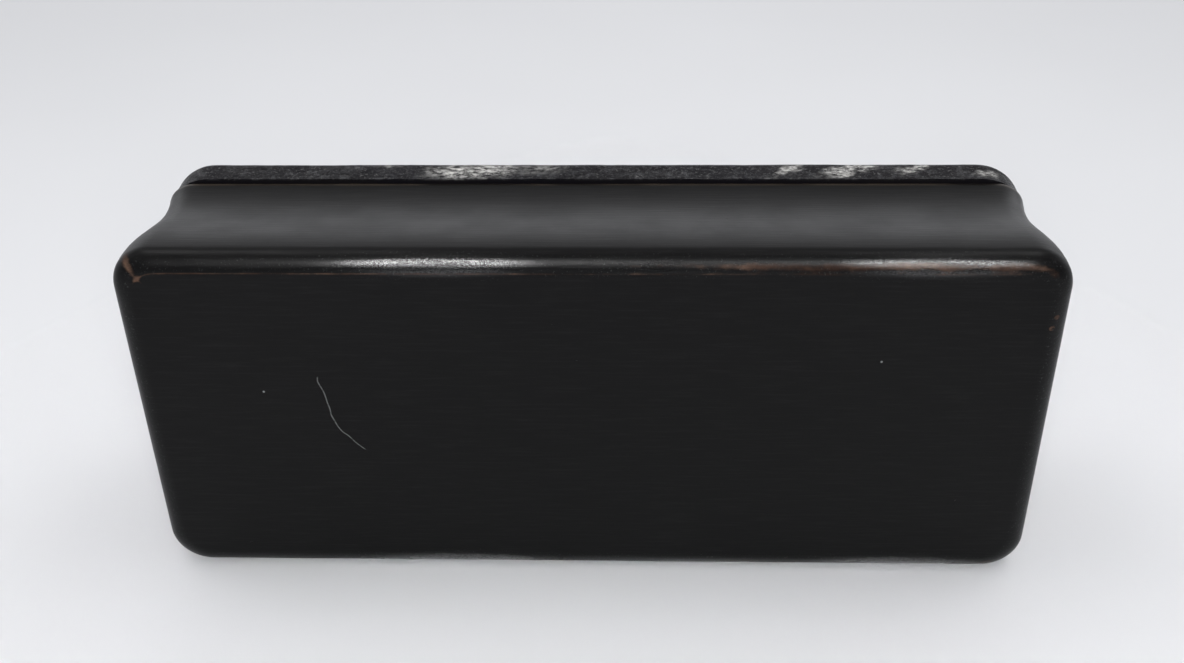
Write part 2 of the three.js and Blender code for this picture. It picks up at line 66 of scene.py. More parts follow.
MIDDLE_X = (BASE_LOW.x + BASE_HIGH.x) / 2
MIDDLE_Z = (BASE_LOW.z + BASE_HIGH.z) / 2
HALF_X = (BASE_HIGH.x - BASE_LOW.x) / 2
HALF_Z = (BASE_HIGH.z - BASE_LOW.z) / 2
UNDERSIDE_Y = BASE_LOW.y
BASE_TOP_Y = BASE_HIGH.y
JOINT_Y = LID_LOW.y
LID_FACE_Y = LID_HIGH.y
INNER_X = FRONT_LOW.x
INNER_HALF_Z = (FRONT_HIGH.z - FRONT_LOW.z) / 2
MOUTH_HALF_Z = (SILL_HIGH.z - SILL_LOW.z) / 2

# ---------- the moulding, as the casing is shaped ----------

CORNER_RADIUS = 13.3 * MM
NECK_RADIUS = 10 * MM
EDGE_IN = 7.4 * MM
EDGE_UP = 6.3 * MM
NECK_INSET = 4.7 * MM
NECK_SHARE = 0.775
LID_INSET = HALF_X - (LID_HIGH.x - LID_LOW.x) / 2
LID_CORNER_RADIUS = 16 * MM
LID_EDGE_RADIUS = 5 * MM
RIM_ROUND = 0.7 * MM
MOUTH_TOP_Y = JOINT_Y - 6 * MM
MOUTH_ROUND = 0.9 * MM

# ---------- the seats of the hinge and the catch ----------

LEAF_THICKNESS = 1.15 * MM
SLIP = 0.3 * MM
GLUE = 0.05 * MM

# ---------- how finely the casing and the lid are meshed ----------

CORNER_STEPS = 14
STRAIGHT_STEP = 2.5 * MM
CAP_RINGS = (40 * MM, 24 * MM, 14 * MM, 10 * MM, 8.4 * MM)
CAP_RADIUS = 8 * MM
EDGE_STEPS = 20
COVE_STEPS = 36
RIM_STEPS = 3
LID_SIDE_STEPS = 8
LID_EDGE_STEPS = 9
ROUND_SEGMENTS = 64

# How far a cutter goes past the wood that it cuts, and how close counts as touching or as the same.
CUT_PAST = 10 * MM
TOUCHING = 0.01 * MM
WELD = 0.001 * MM
CUT_WELD = 0.0001 * MM
# The angle in degrees above which an edge is drawn sharp.
SMOOTH_ANGLE = 40

# ---------- roundings of the smaller pieces ----------

EDGE_ROUND = 0.4 * MM
ROLLER_ROUND = 0.5 * MM
SCREW_ROUND = 0.1 * MM
THIN_ROUND = 0.12 * MM
THIN = 1.6 * MM

# ---------- colours ----------

BLACK_LACQUER = (0.0028, 0.0028, 0.0029)
GREY_LACQUER = (0.005, 0.005, 0.0051)
GRAIN_LACQUER = tuple(2.6 * v for v in GREY_LACQUER)
DARK_BARE = (0.035, 0.014, 0.007)
PALE_BARE = (0.15, 0.09, 0.062)
RIM_PALE_BROWN = (0.13, 0.1, 0.075)
DUST = (0.3, 0.31, 0.31)
LID_BLUE_BLACK = (0.003, 0.003, 0.0055)
LID_BROWN_BLACK = (0.008, 0.007, 0.007)
LID_MOTTLE = (0.05, 0.05, 0.053)
# The pale colour of the lid's patches: painted highlight and rubbed lacquer in one.
LID_HIGHLIGHT_AND_RUBBED = (0.72, 0.71, 0.68)
BAIZE_DARK = (0.008, 0.045, 0.022)
BAIZE_LIGHT = (0.03, 0.13, 0.065)
BAIZE_WORN = (0.05, 0.13, 0.08)
PAPER_DARK = (0.74, 0.745, 0.765)
PAPER_LIGHT = (0.76, 0.765, 0.785)

# ---------- marks on the underside ----------

# A hair-thin scratch, pale specks and chips through the lacquer. Places are shares of the
# underside's length and of the way down it.
HAIR_TOP = (0.205, 0.35)
HAIR_FOOT = (0.25, 0.59)
HAIR_BEND = 2.2
HAIR_WAVER = 7 * MM
HAIR_STRENGTH = 0.4
SPECKS = ((0.81, 0.3), (0.145, 0.4))
SPECK_RADIUS = 0.5 * MM
SPECK_STRENGTH = 0.7
DUST_STRENGTH = 0.25
ROUGH_EDGE_STRENGTH = 0.13
CHIPS = ((0.985, 0.17), (0.982, 0.2))
CHIP_RADIUS = 1.6 * MM

# ---------- wear and polish of the casing ----------

# Bands round the underside's edge: the middle and the width of each. 0 is the flat face, 1 the side.
WORN_LINE = (0.1, 0.055)
WORN_EDGE = (0.31, 0.2)
GLOSSY_EDGE = (0.34, 0.28)
# How worn each band is at the rear end and at the mouth's end, where along x the one gives way to
# the other, counted from the middle, and over what distance.
LINE_WEAR = (0.78, 0.38)
EDGE_WEAR = (0.06, 0.7)
WEAR_TURNS_AT = 10 * MM
WEAR_BLEND = 40 * MM
# What the corners and the edge at the table add to the broad band. At the edge at the table the added
# brown is partly wear and partly a painted reflection of the pale floor.
CORNER_WEAR = 0.1
LOW_EDGE_WEAR_AND_REFLECTION = 0.2
# How rubbed the edge is at the two ends, and what is added at the top and at the table; what is added
# at the table is partly a painted reflection of the floor.
ENDS_RUBBED = 0.3
TOP_RUBBED = 0.7
LOW_RUBBED_AND_REFLECTION = 0.35
# How far wear and gloss reach onto the flat face, and in from the edges at the top and at the table.
FACE_FADE = 1.2 * MM
TOP_REACH = 9 * MM
LOW_REACH = 6 * MM
RIM_REACH = 0.8 * MM
# Where hands have polished the edge: a share of its length, how wide and how strongly.
POLISHED = ((0.345, 0.085, 1.0), (0.855, 0.08, 1.0), (0.6, 0.16, 0.3))
# The least gloss of the edge, where no hand has polished it, and the most.
GLOSS = (0.12, 1.0)
# The bare streak up the rear corner: how worn, its height and reach, its direction and its width.
STREAK_WEAR = 0.62
STREAK_UP = 3 * MM
STREAK_REACH = 6 * MM
STREAK_ANGLE = math.radians(125)
STREAK_WIDTH = math.radians(13)

# ---------- wear of the lid ----------

# Pale patches along the lid's sides, painted highlights of the glossy lumps and rubbed lacquer in one:
# a share of its length and of its height, half their own length and height, how far they lean along x
# as they rise, and how strongly they show.
LID_HIGHLIGHT_AND_RUB_PATCHES = (
    (0.262, 0.75, 6 * MM, 3 * MM, 0.5, 0.6),
    (0.362, 0.55, 17 * MM, 9 * MM, 0.6, 1.0),
    (0.442, 0.6, 12 * MM, 6 * MM, 0.5, 0.45),
    (0.725, 0.45, 3.5 * MM, 6 * MM, 0.8, 0.9),
    (0.797, 0.5, 8 * MM, 7 * MM, 1.2, 1.0),
    (0.873, 0.6, 6 * MM, 5 * MM, 1.2, 1.0),
    (0.955, 0.3, 4 * MM, 3 * MM, 0.8, 0.7),
)
# The rubbing and the painted highlights start this far below the lid's face and grow over this height.
# They keep this far off the recess.
RUB_AND_HIGHLIGHT_START = 0.5 * MM
RUB_AND_HIGHLIGHT_FADE = 4 * MM
RECESS_MARGIN = 1 * MM
# How lumpy the lid's sides are: two sizes of ripple, and how far they all stand in.
COARSE_RIPPLE = 0.16 * MM
FINE_RIPPLE = 0.07 * MM
RIPPLE_INSET = 0.15 * MM

# ---------- lights ----------

# The world's strength low down behind the shoe, overhead, and in front; and what the camera sees.
SWEEP_LIGHT = 1.3
ROOM_LIGHT = 0.36
FRONT_LIGHT = 0.08
PAPER_SEEN = 0.76
FLOOR_SIZE = 6
# The lamps: name, place, width and height, watts, and how wide the light spreads in degrees.
LAMPS = (
    # These two show as the long highlights on the edge of the underside.
    ("front_left", (-0.25, -1.15, 0.95), (0.14, 0.65), 3.0, 110),
    ("front_right", (0.4, -1.15, 0.95), (0.1, 0.65), 2.1, 110),
    # These two throw the soft shadows at both ends.
    ("side_left", (-0.5, 0.05, 1.2), (0.4, 0.4), 2.2, 180),
    ("side_right", (0.5, 0.05, 1.2), (0.4, 0.4), 2.2, 180),
    ("ceiling", (0, 0, 3.0), (24, 24), 585.0, 180),
)

# ---------- camera ----------

# The camera's place is in lengths of the shoe, from the middle of the underside's upper edge.
CAMERA_PLACE = Vector((0.053, -1.2253, 0.7197))
CAMERA_FORWARD = Vector((-0.0332, 0.8336, -0.5513))
CAMERA_ROLL = -0.0188
SENSOR_WIDTH = 36
LENS = 42.57


# ---------- number helpers ----------


def clamped(value):
    """A value kept between 0 and 1."""
    return min(max(value, 0), 1)


def between(ends, share):
    """The value a share of the way from the first end to the second."""
    first, second = ends
    return first + (second - first) * share


def hump(value, middle, width):
    """1 at the middle, falling away on both sides like a bell."""
    return math.exp(-(((value - middle) / width) ** 2))


# ---------- mesh helpers ----------


def rounded_outline(half_x, half_z, radius):
    """Points round a rounded rectangle in x and z, with the same number for any size."""
    points = []
    corners = ((1, 1), (-1, 1), (-1, -1), (1, -1))
    steps_x = int(2 * HALF_X / STRAIGHT_STEP)
    steps_z = int(2 * HALF_Z / STRAIGHT_STEP)
    for quarter, (side_x, side_z) in enumerate(corners):
        for step in range(CORNER_STEPS + 1):
            angle = (quarter + step / CORNER_STEPS) * math.pi / 2
            points.append(
                (
                    side_x * (half_x - radius) + radius * math.cos(angle),
                    side_z * (half_z - radius) + radius * math.sin(angle),
                )
            )
        next_x, next_z = corners[(quarter + 1) % 4]
        start = points[-1]
        angle = (quarter + 1) * math.pi / 2
        end = (
            next_x * (half_x - radius) + radius * math.cos(angle),
            next_z * (half_z - radius) + radius * math.sin(angle),
        )
        steps = steps_x if quarter % 2 == 0 else steps_z
        for step in range(1, steps):
            share = step / steps
            points.append(
                (
                    start[0] + (end[0] - start[0]) * share,
                    start[1] + (end[1] - start[1]) * share,
                )
            )
    return points


def loft(levels):
    """A closed bmesh through outlines at rising y, each (y, half_x, half_z, radius)."""
    mesh = bmesh.new()
    rings = []
    for y, half_x, half_z, radius in levels:
        ring = [
            mesh.verts.new((MIDDLE_X + x, y, MIDDLE_Z + z))
            for x, z in rounded_outline(half_x, half_z, radius)
        ]
        rings.append(ring)
    count = len(rings[0])
    for lower, upper in zip(rings, rings[1:]):
        for i in range(count):
            j = (i + 1) % count
            mesh.faces.new((lower[i], upper[i], upper[j], lower[j]))
    mesh.faces.new(rings[0])
    mesh.faces.new(list(reversed(rings[-1])))
    bmesh.ops.recalc_face_normals(mesh, faces=mesh.faces)
    return mesh


def keep_side(mesh, point, normal):
    """Cuts a closed bmesh by a plane, keeps the side that the normal points away from, and caps it."""
    cut = bmesh.ops.bisect_plane(
        mesh,
        geom=mesh.verts[:] + mesh.edges[:] + mesh.faces[:],
        dist=CUT_WELD,
        plane_co=point,
        plane_no=normal,
        clear_outer=True,
    )
    edges = [item for item in cut["geom_cut"] if isinstance(item, bmesh.types.BMEdge)]
    bmesh.ops.contextual_create(mesh, geom=edges)
    bmesh.ops.recalc_face_normals(mesh, faces=mesh.faces)


def make_object(name, mesh, smooth_angle=SMOOTH_ANGLE):
    """A new object from a bmesh, smooth where its faces meet at less than an angle."""
    data = bpy.data.meshes.new(name)
    mesh.to_mesh(data)
    mesh.free()
    obj = bpy.data.objects.new(name, data)
    bpy.context.scene.collection.objects.link(obj)
    data.shade_smooth()
    data.set_sharp_from_angle(angle=math.radians(smooth_angle))
    return obj


def box_mesh(low, high):
    """A closed box between two corners."""
    mesh = bmesh.new()
    bmesh.ops.create_cube(mesh, size=1)
    low, high = Vector(low), Vector(high)
    size = high - low
    middle = (low + high) / 2
    for vert in mesh.verts:
        vert.co = middle + Vector(a * b for a, b in zip(vert.co, size))
    return mesh


def bar_mesh(middle, radius, length, axis):
    """A closed cylinder along y or z."""
    mesh = bmesh.new()
    turn = Matrix.Rotation(math.pi / 2, 4, "X") if axis == "y" else Matrix()
    bmesh.ops.create_cone(
        mesh,
        cap_ends=True,
        segments=ROUND_SEGMENTS,
        radius1=radius,
        radius2=radius,
        depth=length,
        matrix=Matrix.Translation(middle) @ turn,
    )
    return mesh


def subtract(obj, *cutters):
    """Cuts bmeshes out of an object, with the exact boolean, and applies it."""
    for index, mesh in enumerate(cutters):
        cutter = make_object(f"cutter_{index}", mesh)
        modifier = obj.modifiers.new("cut", "BOOLEAN")
        modifier.object = cutter
        modifier.operation = "DIFFERENCE"
        modifier.solver = "EXACT"
        bpy.context.view_layer.update()
        graph = bpy.context.evaluated_depsgraph_get()
        result = bpy.data.meshes.new_from_object(obj.evaluated_get(graph))
        obj.modifiers.clear()
        obj.data = result
        bpy.data.objects.remove(cutter)


def soften(obj, width, chosen=lambda edge: True, angle=35, segments=3):
    """Rounds an object's sharp edges that pass a test."""
    mesh = bmesh.new()
    mesh.from_mesh(obj.data)
    limit = math.radians(angle)
    edges = [
        edge
        for edge in mesh.edges
        if len(edge.link_faces) == 2
        and edge.calc_face_angle() > limit
        and chosen(edge)
    ]
    bmesh.ops.bevel(
        mesh,
        geom=edges,
        offset=width,
        segments=segments,
        affect="EDGES",
        profile=0.5,
        clamp_overlap=True,
    )
    mesh.to_mesh(obj.data)
    mesh.free()
    obj.data.shade_smooth()
    obj.data.set_sharp_from_angle(angle=math.radians(SMOOTH_ANGLE))


def finished(obj, body, nodes, material):
    """Puts a piece in the object: what it rides on, what it stands for and what it is made of."""
    obj.data.materials.clear()
    obj.data.materials.append(material)
    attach(obj, body)
    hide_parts(*nodes)


# ---------- material helpers ----------


class Nodes:
    """Builds one material's node tree with short calls."""

    def __init__(self, name):
        self.material = bpy.data.materials.new(name)
        self.material.use_nodes = True
        self.tree = self.material.node_tree
        self.shader = next(n for n in self.tree.nodes if n.type == "BSDF_PRINCIPLED")
        self.place = self.add("ShaderNodeTexCoord").outputs["Object"]

    def add(self, kind, **settings):
        """A new node of a kind, with its settings."""
        node = self.tree.nodes.new(kind)
        for key, value in settings.items():
            setattr(node, key, value)
        return node

    def link(self, source, target):
        """Links an output to an input."""
        self.tree.links.new(source, target)

    def set(self, socket, value):
        """Gives an input a value, or links another node's output to it."""
        if isinstance(value, bpy.types.NodeSocket):
            self.link(value, socket)
        else:
            socket.default_value = value

    def stretched(self, scale):
        """The place, stretched along x, y and z."""
        node = self.add("ShaderNodeMapping")
        self.link(self.place, node.inputs["Vector"])
        node.inputs["Scale"].default_value = scale
        return node.outputs["Vector"]

    def noise(self, scale, detail=4, rough=0.55, stretch=None, distort=0.0):
        """Noise from 0 to 1, about 0.5, with so many lumps to a metre."""
        node = self.add("ShaderNodeTexNoise")
        self.link(self.stretched(stretch) if stretch else self.place, node.inputs["Vector"])
        node.inputs["Scale"].default_value = scale
        node.inputs["Detail"].default_value = detail
        node.inputs["Roughness"].default_value = rough
        node.inputs["Distortion"].default_value = distort
        return node.outputs["Fac"]

    def ramp(self, value, low, high, out_low=0.0, out_high=1.0, smooth=True):
        """Maps low..high to out_low..out_high, and stays flat beyond them."""
        node = self.add("ShaderNodeMapRange", clamp=True)
        node.interpolation_type = "SMOOTHSTEP" if smooth else "LINEAR"
        self.link(value, node.inputs["Value"])
        node.inputs["From Min"].default_value = low
        node.inputs["From Max"].default_value = high
        node.inputs["To Min"].default_value = out_low
        node.inputs["To Max"].default_value = out_high
        return node.outputs["Result"]

    def calc(self, operation, first, second=0.0):
        """A sum on two values, each a socket or a number."""
        node = self.add("ShaderNodeMath", operation=operation)
        self.set(node.inputs[0], first)
        self.set(node.inputs[1], second)
        return node.outputs[0]

    def mix(self, share, first, second):
        """A colour a share of the way from the first to the second."""
        node = self.add("ShaderNodeMix", data_type="RGBA")
        self.set(node.inputs["Factor"], share)
        self.set(node.inputs[6], first if not isinstance(first, tuple) else (*first, 1))
        self.set(node.inputs[7], second if not isinstance(second, tuple) else (*second, 1))
        return node.outputs[2]

    def axes(self):
        """The place's x, y and z."""
        node = self.add("ShaderNodeSeparateXYZ")
        self.link(self.place, node.inputs["Vector"])
        return node.outputs

    def wandering(self, scale, reach):
        """The x, y and z of the place, moved about by noise."""
        texture = self.add("ShaderNodeTexNoise")
        self.link(self.place, texture.inputs["Vector"])
        texture.inputs["Scale"].default_value = scale
        texture.inputs["Detail"].default_value = 2
        centred = self.add("ShaderNodeVectorMath", operation="SUBTRACT")
        self.link(texture.outputs["Color"], centred.inputs[0])
        centred.inputs[1].default_value = (0.5, 0.5, 0.5)
        moved = self.add("ShaderNodeVectorMath", operation="MULTIPLY_ADD")
        self.link(centred.outputs[0], moved.inputs[0])
        moved.inputs[1].default_value = (reach, reach, reach)
        self.link(self.place, moved.inputs[2])
        parts = self.add("ShaderNodeSeparateXYZ")
        self.link(moved.outputs[0], parts.inputs["Vector"])
        return parts.outputs

    def spot(self, place, radius):
        """1 at a place, fading to 0 at a radius."""
        node = self.add("ShaderNodeVectorMath", operation="DISTANCE")
        self.link(self.place, node.inputs[0])
        node.inputs[1].default_value = place
        return self.ramp(node.outputs["Value"], 0.4 * radius, radius, 1, 0)

    def attribute(self, name):
        """A value stored at the mesh's vertices."""
        node = self.add("ShaderNodeAttribute", attribute_name=name)
        return node.outputs["Fac"]

    def bump(self, height, strength, distance, below=None):
        """A normal roughened by a height, on top of another normal."""
        node = self.add("ShaderNodeBump")
        node.inputs["Strength"].default_value = strength
        node.inputs["Distance"].default_value = distance
        self.link(height, node.inputs["Height"])
        if below is not None:
            self.link(below, node.inputs["Normal"])
        return node.outputs["Normal"]

    def finish(self, **values):
        """Sets the shader's inputs by name, and returns the material."""
        for key, value in values.items():
            socket = self.shader.inputs[key.replace("_", " ")]
            if isinstance(value, tuple) and len(value) == 3:
                value = (*value, 1)
            self.set(socket, value)
        return self.material


# ---------- materials ----------


def on_face(along, down):
    """A place on the underside, as shares of its length and of the way down it."""
    return (MIDDLE_X + (2 * along - 1) * HALF_X, UNDERSIDE_Y, MIDDLE_Z + (1 - 2 * down) * HALF_Z)


def hair_scratch(n):
    """A thin curved scratch on the underside: 1 on it and 0 elsewhere."""
    top_x, _, top_z = on_face(*HAIR_TOP)
    foot_x, _, foot_z = on_face(*HAIR_FOOT)
    x, y, z = n.axes()
    down = n.ramp(z, foot_z, top_z, 1, 0, smooth=False)
    bend = n.calc("POWER", down, HAIR_BEND)
    middle = n.calc("ADD", n.calc("MULTIPLY", bend, foot_x - top_x), top_x)
    waver = n.calc("MULTIPLY", n.calc("SUBTRACT", n.noise(60, 2), 0.5), HAIR_WAVER)
    away = n.calc("ABSOLUTE", n.calc("SUBTRACT", x, n.calc("ADD", middle, waver)))
    thin = n.ramp(away, 0.05 * MM, 0.32 * MM, 1, 0)
    ends = n.calc("MULTIPLY", n.ramp(down, 0, 0.04), n.ramp(down, 0.96, 1, 1, 0))
    face = n.ramp(y, UNDERSIDE_Y + 0.2 * MM, UNDERSIDE_Y + 0.6 * MM, 1, 0)
    broken = n.ramp(n.noise(500, 3), 0.35, 0.5, 0.35, 1)
    return n.calc("MULTIPLY", n.calc("MULTIPLY", thin, ends), n.calc("MULTIPLY", face, broken))


def casing_lacquer():
    """Satin black lacquer, brushed along x, worn to brown wood along its edges, with a lighter brown
    band at the edge at the table that is partly a painted reflection of the floor.
    """
    n = Nodes("casing_lacquer")
    wear_and_reflection = n.attribute("wear_and_reflection")
    gloss = n.attribute("gloss")
    rim = n.attribute("rim")
    for place in CHIPS:
        chip = n.calc("MULTIPLY", n.spot(on_face(*place), CHIP_RADIUS), n.noise(700, 3))
        wear_and_reflection = n.calc("ADD", wear_and_reflection, chip)

    # The wear decides how much lacquer is gone, and the noise where it breaks. Along the edge at the
    # table, part of this brown is a painted reflection of the floor.
    grain = n.noise(1100, 4, 0.7, stretch=(0.05, 1, 1))
    chance = n.noise(260, 6, 0.7, stretch=(0.4, 1, 1))
    broken = n.calc("ADD", wear_and_reflection, n.calc("MULTIPLY", n.calc("SUBTRACT", chance, 0.6), 0.8))
    bare = n.ramp(broken, 0.3, 0.66)
    black = n.mix(n.noise(9, 5), BLACK_LACQUER, GREY_LACQUER)
    black = n.mix(n.ramp(grain, 0.45, 0.75, 0, 0.5), black, GRAIN_LACQUER)
    brown = n.mix(n.ramp(n.noise(70, 5), 0.35, 0.7), DARK_BARE, PALE_BARE)
    colour = n.mix(n.calc("MULTIPLY", bare, 0.85), black, brown)
    # The rim at the joint is tinted pale brown in patches.
    rim = n.calc("MULTIPLY", rim, n.ramp(n.noise(40, 4), 0.35, 0.65, 0.1, 0.65))
    colour = n.mix(rim, colour, RIM_PALE_BROWN)

    # Dust, the scratch, the edge's fine roughness and the specks are all the same pale grey.
    dust = n.ramp(n.noise(1500, 2, 0.8), 0.72, 0.78)
    dust = n.calc("MULTIPLY", dust, n.ramp(n.noise(25, 3), 0.5, 0.7))
    rough_edge = n.ramp(n.noise(1300, 3, 0.8), 0.58, 0.72)
    rough_edge = n.calc("MULTIPLY", n.ramp(gloss, 0.03, 0.1), rough_edge)
    pale_marks = [
        (dust, DUST_STRENGTH),
        (hair_scratch(n), HAIR_STRENGTH),
        (rough_edge, ROUGH_EDGE_STRENGTH),
    ]
    for place in SPECKS:
        pale_marks.append((n.spot(on_face(*place), SPECK_RADIUS), SPECK_STRENGTH))
    marks = 0.0
    for mark, strength in pale_marks:
        marks = n.calc("MAXIMUM", marks, n.calc("MULTIPLY", mark, strength))
    colour = n.mix(marks, colour, DUST)

    # The gloss smooths the lacquer and bare wood roughens it.
    rough = n.ramp(n.noise(60, 4), 0.3, 0.7, 0.3, 0.37)
    rough = n.calc("SUBTRACT", rough, n.calc("MULTIPLY", gloss, 0.13))
    rough = n.calc("ADD", rough, n.calc("MULTIPLY", bare, 0.12))
    # Slow waves, the brush's grain, sparkle on the polished edge, and pits.
    normal = n.bump(n.noise(55, 3), 0.2, 0.3 * MM)
    normal = n.bump(grain, 0.35, 0.14 * MM, normal)
    sparkle = n.calc("MULTIPLY", n.noise(1500, 3, 0.8), gloss)
    normal = n.bump(sparkle, 0.75, 0.13 * MM, normal)
    pit = n.ramp(n.noise(230, 2), 0.78, 0.82)
    normal = n.bump(n.calc("MULTIPLY", pit, -1), 0.6, 0.4 * MM, normal)
    # Handling has polished the edge, so it carries a glossier coat than the matt faces.
    n.finish(Base_Color=colour, Roughness=rough, IOR=1.2, Normal=normal)
    polish = n.calc("MULTIPLY", n.ramp(gloss, 0.12, 0.75), n.ramp(bare, 0, 1, 1, 0.6))
    polish = n.calc("MULTIPLY", polish, n.ramp(n.noise(1200, 3, 0.8), 0.36, 0.6, 0.4, 1))
    return n.finish(Coat_Weight=polish, Coat_Roughness=0.14, Coat_IOR=1.8, Coat_Normal=normal)


def lid_lacquer():
    """Glossy lacquer that ran and was rubbed: lumpy, with pale patches along the edge that are painted
    highlights and rubbed lacquer in one.
    """
    n = Nodes("lid_lacquer")
    rub_and_highlight = n.attribute("rub_and_highlight")
    # Each patch is a leaning ellipse whose outline wanders, broken up by grit.
    x, y, _ = n.wandering(160, 9 * MM)
    patch = 0.0
    for along, up, half_length, half_height, lean, strength in LID_HIGHLIGHT_AND_RUB_PATCHES:
        rise = n.calc("SUBTRACT", y, between((JOINT_Y, LID_FACE_Y), up))
        run = n.calc("SUBTRACT", x, between((LID_LOW.x, LID_HIGH.x), along))
        run = n.calc("SUBTRACT", run, n.calc("MULTIPLY", rise, lean))
        run = n.calc("DIVIDE", run, half_length)
        rise = n.calc("DIVIDE", rise, half_height)
        squares = n.calc("ADD", n.calc("MULTIPLY", run, run), n.calc("MULTIPLY", rise, rise))
        away = n.calc("SQRT", squares)
        patch = n.calc("MAXIMUM", patch, n.ramp(away, 0, 1.5, strength, 0))
    grit = n.noise(600, 5, 0.75, stretch=(0.6, 1, 1))
    # The pale patches and specks are painted highlights of the lumpy gloss, and rubbed lacquer as
    # well.
    pale = n.calc("MULTIPLY", n.ramp(patch, 0.05, 0.95), n.ramp(grit, 0.36, 0.72))
    specks = n.calc("MULTIPLY", n.ramp(n.noise(900, 4, 0.8), 0.54, 0.72), 0.15)
    pale = n.calc("MULTIPLY", n.calc("MAXIMUM", pale, specks), rub_and_highlight)
    black = n.mix(n.noise(60, 4), LID_BLUE_BLACK, LID_BROWN_BLACK)
    mottled = n.calc("MULTIPLY", n.ramp(n.noise(260, 6, 0.8), 0.46, 0.7), rub_and_highlight)
    black = n.mix(mottled, black, LID_MOTTLE)
    colour = n.mix(pale, black, LID_HIGHLIGHT_AND_RUBBED)
    rough = n.ramp(n.noise(90, 4), 0.3, 0.7, 0.12, 0.28)
    rough = n.calc("ADD", rough, n.calc("MULTIPLY", pale, 0.2))
    # The runs are lumpy on the rubbed sides and nearly flat on the face.
    lumps = n.calc("MULTIPLY", n.noise(210, 5, 0.65), n.ramp(rub_and_highlight, 0, 1, 0.05, 1))
    uneven = n.calc("MULTIPLY", lumps, n.ramp(n.noise(35, 3), 0.35, 0.65, 0.3, 1))
    normal = n.bump(uneven, 0.85, 1.5 * MM)
    fine = n.calc("MULTIPLY", n.noise(1000, 3, 0.75), n.ramp(rub_and_highlight, 0, 1, 0.04, 1))
    normal = n.bump(fine, 0.75, 0.5 * MM, normal)
    return n.finish(Base_Color=colour, Roughness=rough, IOR=1.07, Normal=normal)


def wood(name, dark, light, rough_low, rough_high):
    """Planed wood with its grain along x, pores and a wax finish."""
    n = Nodes(name)
    along_grain = (0.06, 1, 1)
    bands = n.noise(150, 6, 0.6, stretch=along_grain, distort=0.6)
    pores = n.noise(1400, 3, 0.6, stretch=along_grain)
    colour = n.mix(n.ramp(bands, 0.3, 0.72), dark, light)
    hollow = n.ramp(pores, 0.56, 0.7)
    colour = n.mix(n.calc("MULTIPLY", hollow, 0.45), colour, tuple(0.45 * v for v in dark))
    rough = n.ramp(bands, 0.3, 0.7, rough_low, rough_high)
    height = n.calc("SUBTRACT", bands, n.calc("MULTIPLY", hollow, 0.6))
    normal = n.bump(height, 0.35, 0.25 * MM)
    return n.finish(Base_Color=colour, Roughness=rough, Normal=normal)


def baize():
    """Green wool cloth with a short nap."""
    n = Nodes("baize")
    nap = n.noise(2600, 3, 0.7)
    worn = n.noise(30, 4)
    colour = n.mix(n.ramp(nap, 0.3, 0.7), BAIZE_DARK, BAIZE_LIGHT)
    colour = n.mix(n.ramp(worn, 0.55, 0.8, 0, 0.35), colour, BAIZE_WORN)
    normal = n.bump(nap, 0.9, 0.4 * MM)
    n.finish(Base_Color=colour, Roughness=0.95, Normal=normal)
    n.shader.inputs["Sheen Weight"].default_value = 0.5
    n.shader.inputs["Sheen Roughness"].default_value = 0.4
    return n.material


def metal(name, low, high, rough_low, rough_high):
    """Brushed metal with stains that dull it a little."""
    n = Nodes(name)
    brush = n.noise(1800, 3, 0.6, stretch=(1, 1, 0.05))
    stain = n.noise(120, 5, 0.65)
    colour = n.mix(n.ramp(stain, 0.35, 0.75), high, low)
    rough = n.ramp(stain, 0.3, 0.75, rough_low, rough_high)
    normal = n.bump(brush, 0.25, 0.08 * MM)
    n.finish(Base_Color=colour, Roughness=rough, Normal=normal)
    n.shader.inputs["Metallic"].default_value = 1.0
    return n.material


def floor_paper():
    """Plain pale paper, a little uneven in tone."""
    n = Nodes("floor_paper")
    tone = n.noise(3, 3)
    colour = n.mix(n.ramp(tone, 0.3, 0.7), PAPER_DARK, PAPER_LIGHT)
    normal = n.bump(n.noise(700, 3), 0.05, 0.3 * MM)
    return n.finish(Base_Color=colour, Roughness=0.85, Normal=normal)


CASING = casing_lacquer()
LID = lid_lacquer()
BEECH = wood("beech", (0.2, 0.1, 0.045), (0.42, 0.25, 0.13), 0.4, 0.55)
WALNUT = wood("walnut", (0.035, 0.016, 0.009), (0.13, 0.06, 0.03), 0.32, 0.45)
BAIZE = baize()
BRASS = metal("brass", (0.45, 0.28, 0.1), (0.83, 0.6, 0.27), 0.2, 0.42)
BRONZE = metal("bronze", (0.3, 0.17, 0.08), (0.55, 0.34, 0.17), 0.25, 0.45)
STEEL = metal("steel", (0.42, 0.42, 0.43), (0.66, 0.66, 0.68), 0.16, 0.34)

# ---------- casing ----------


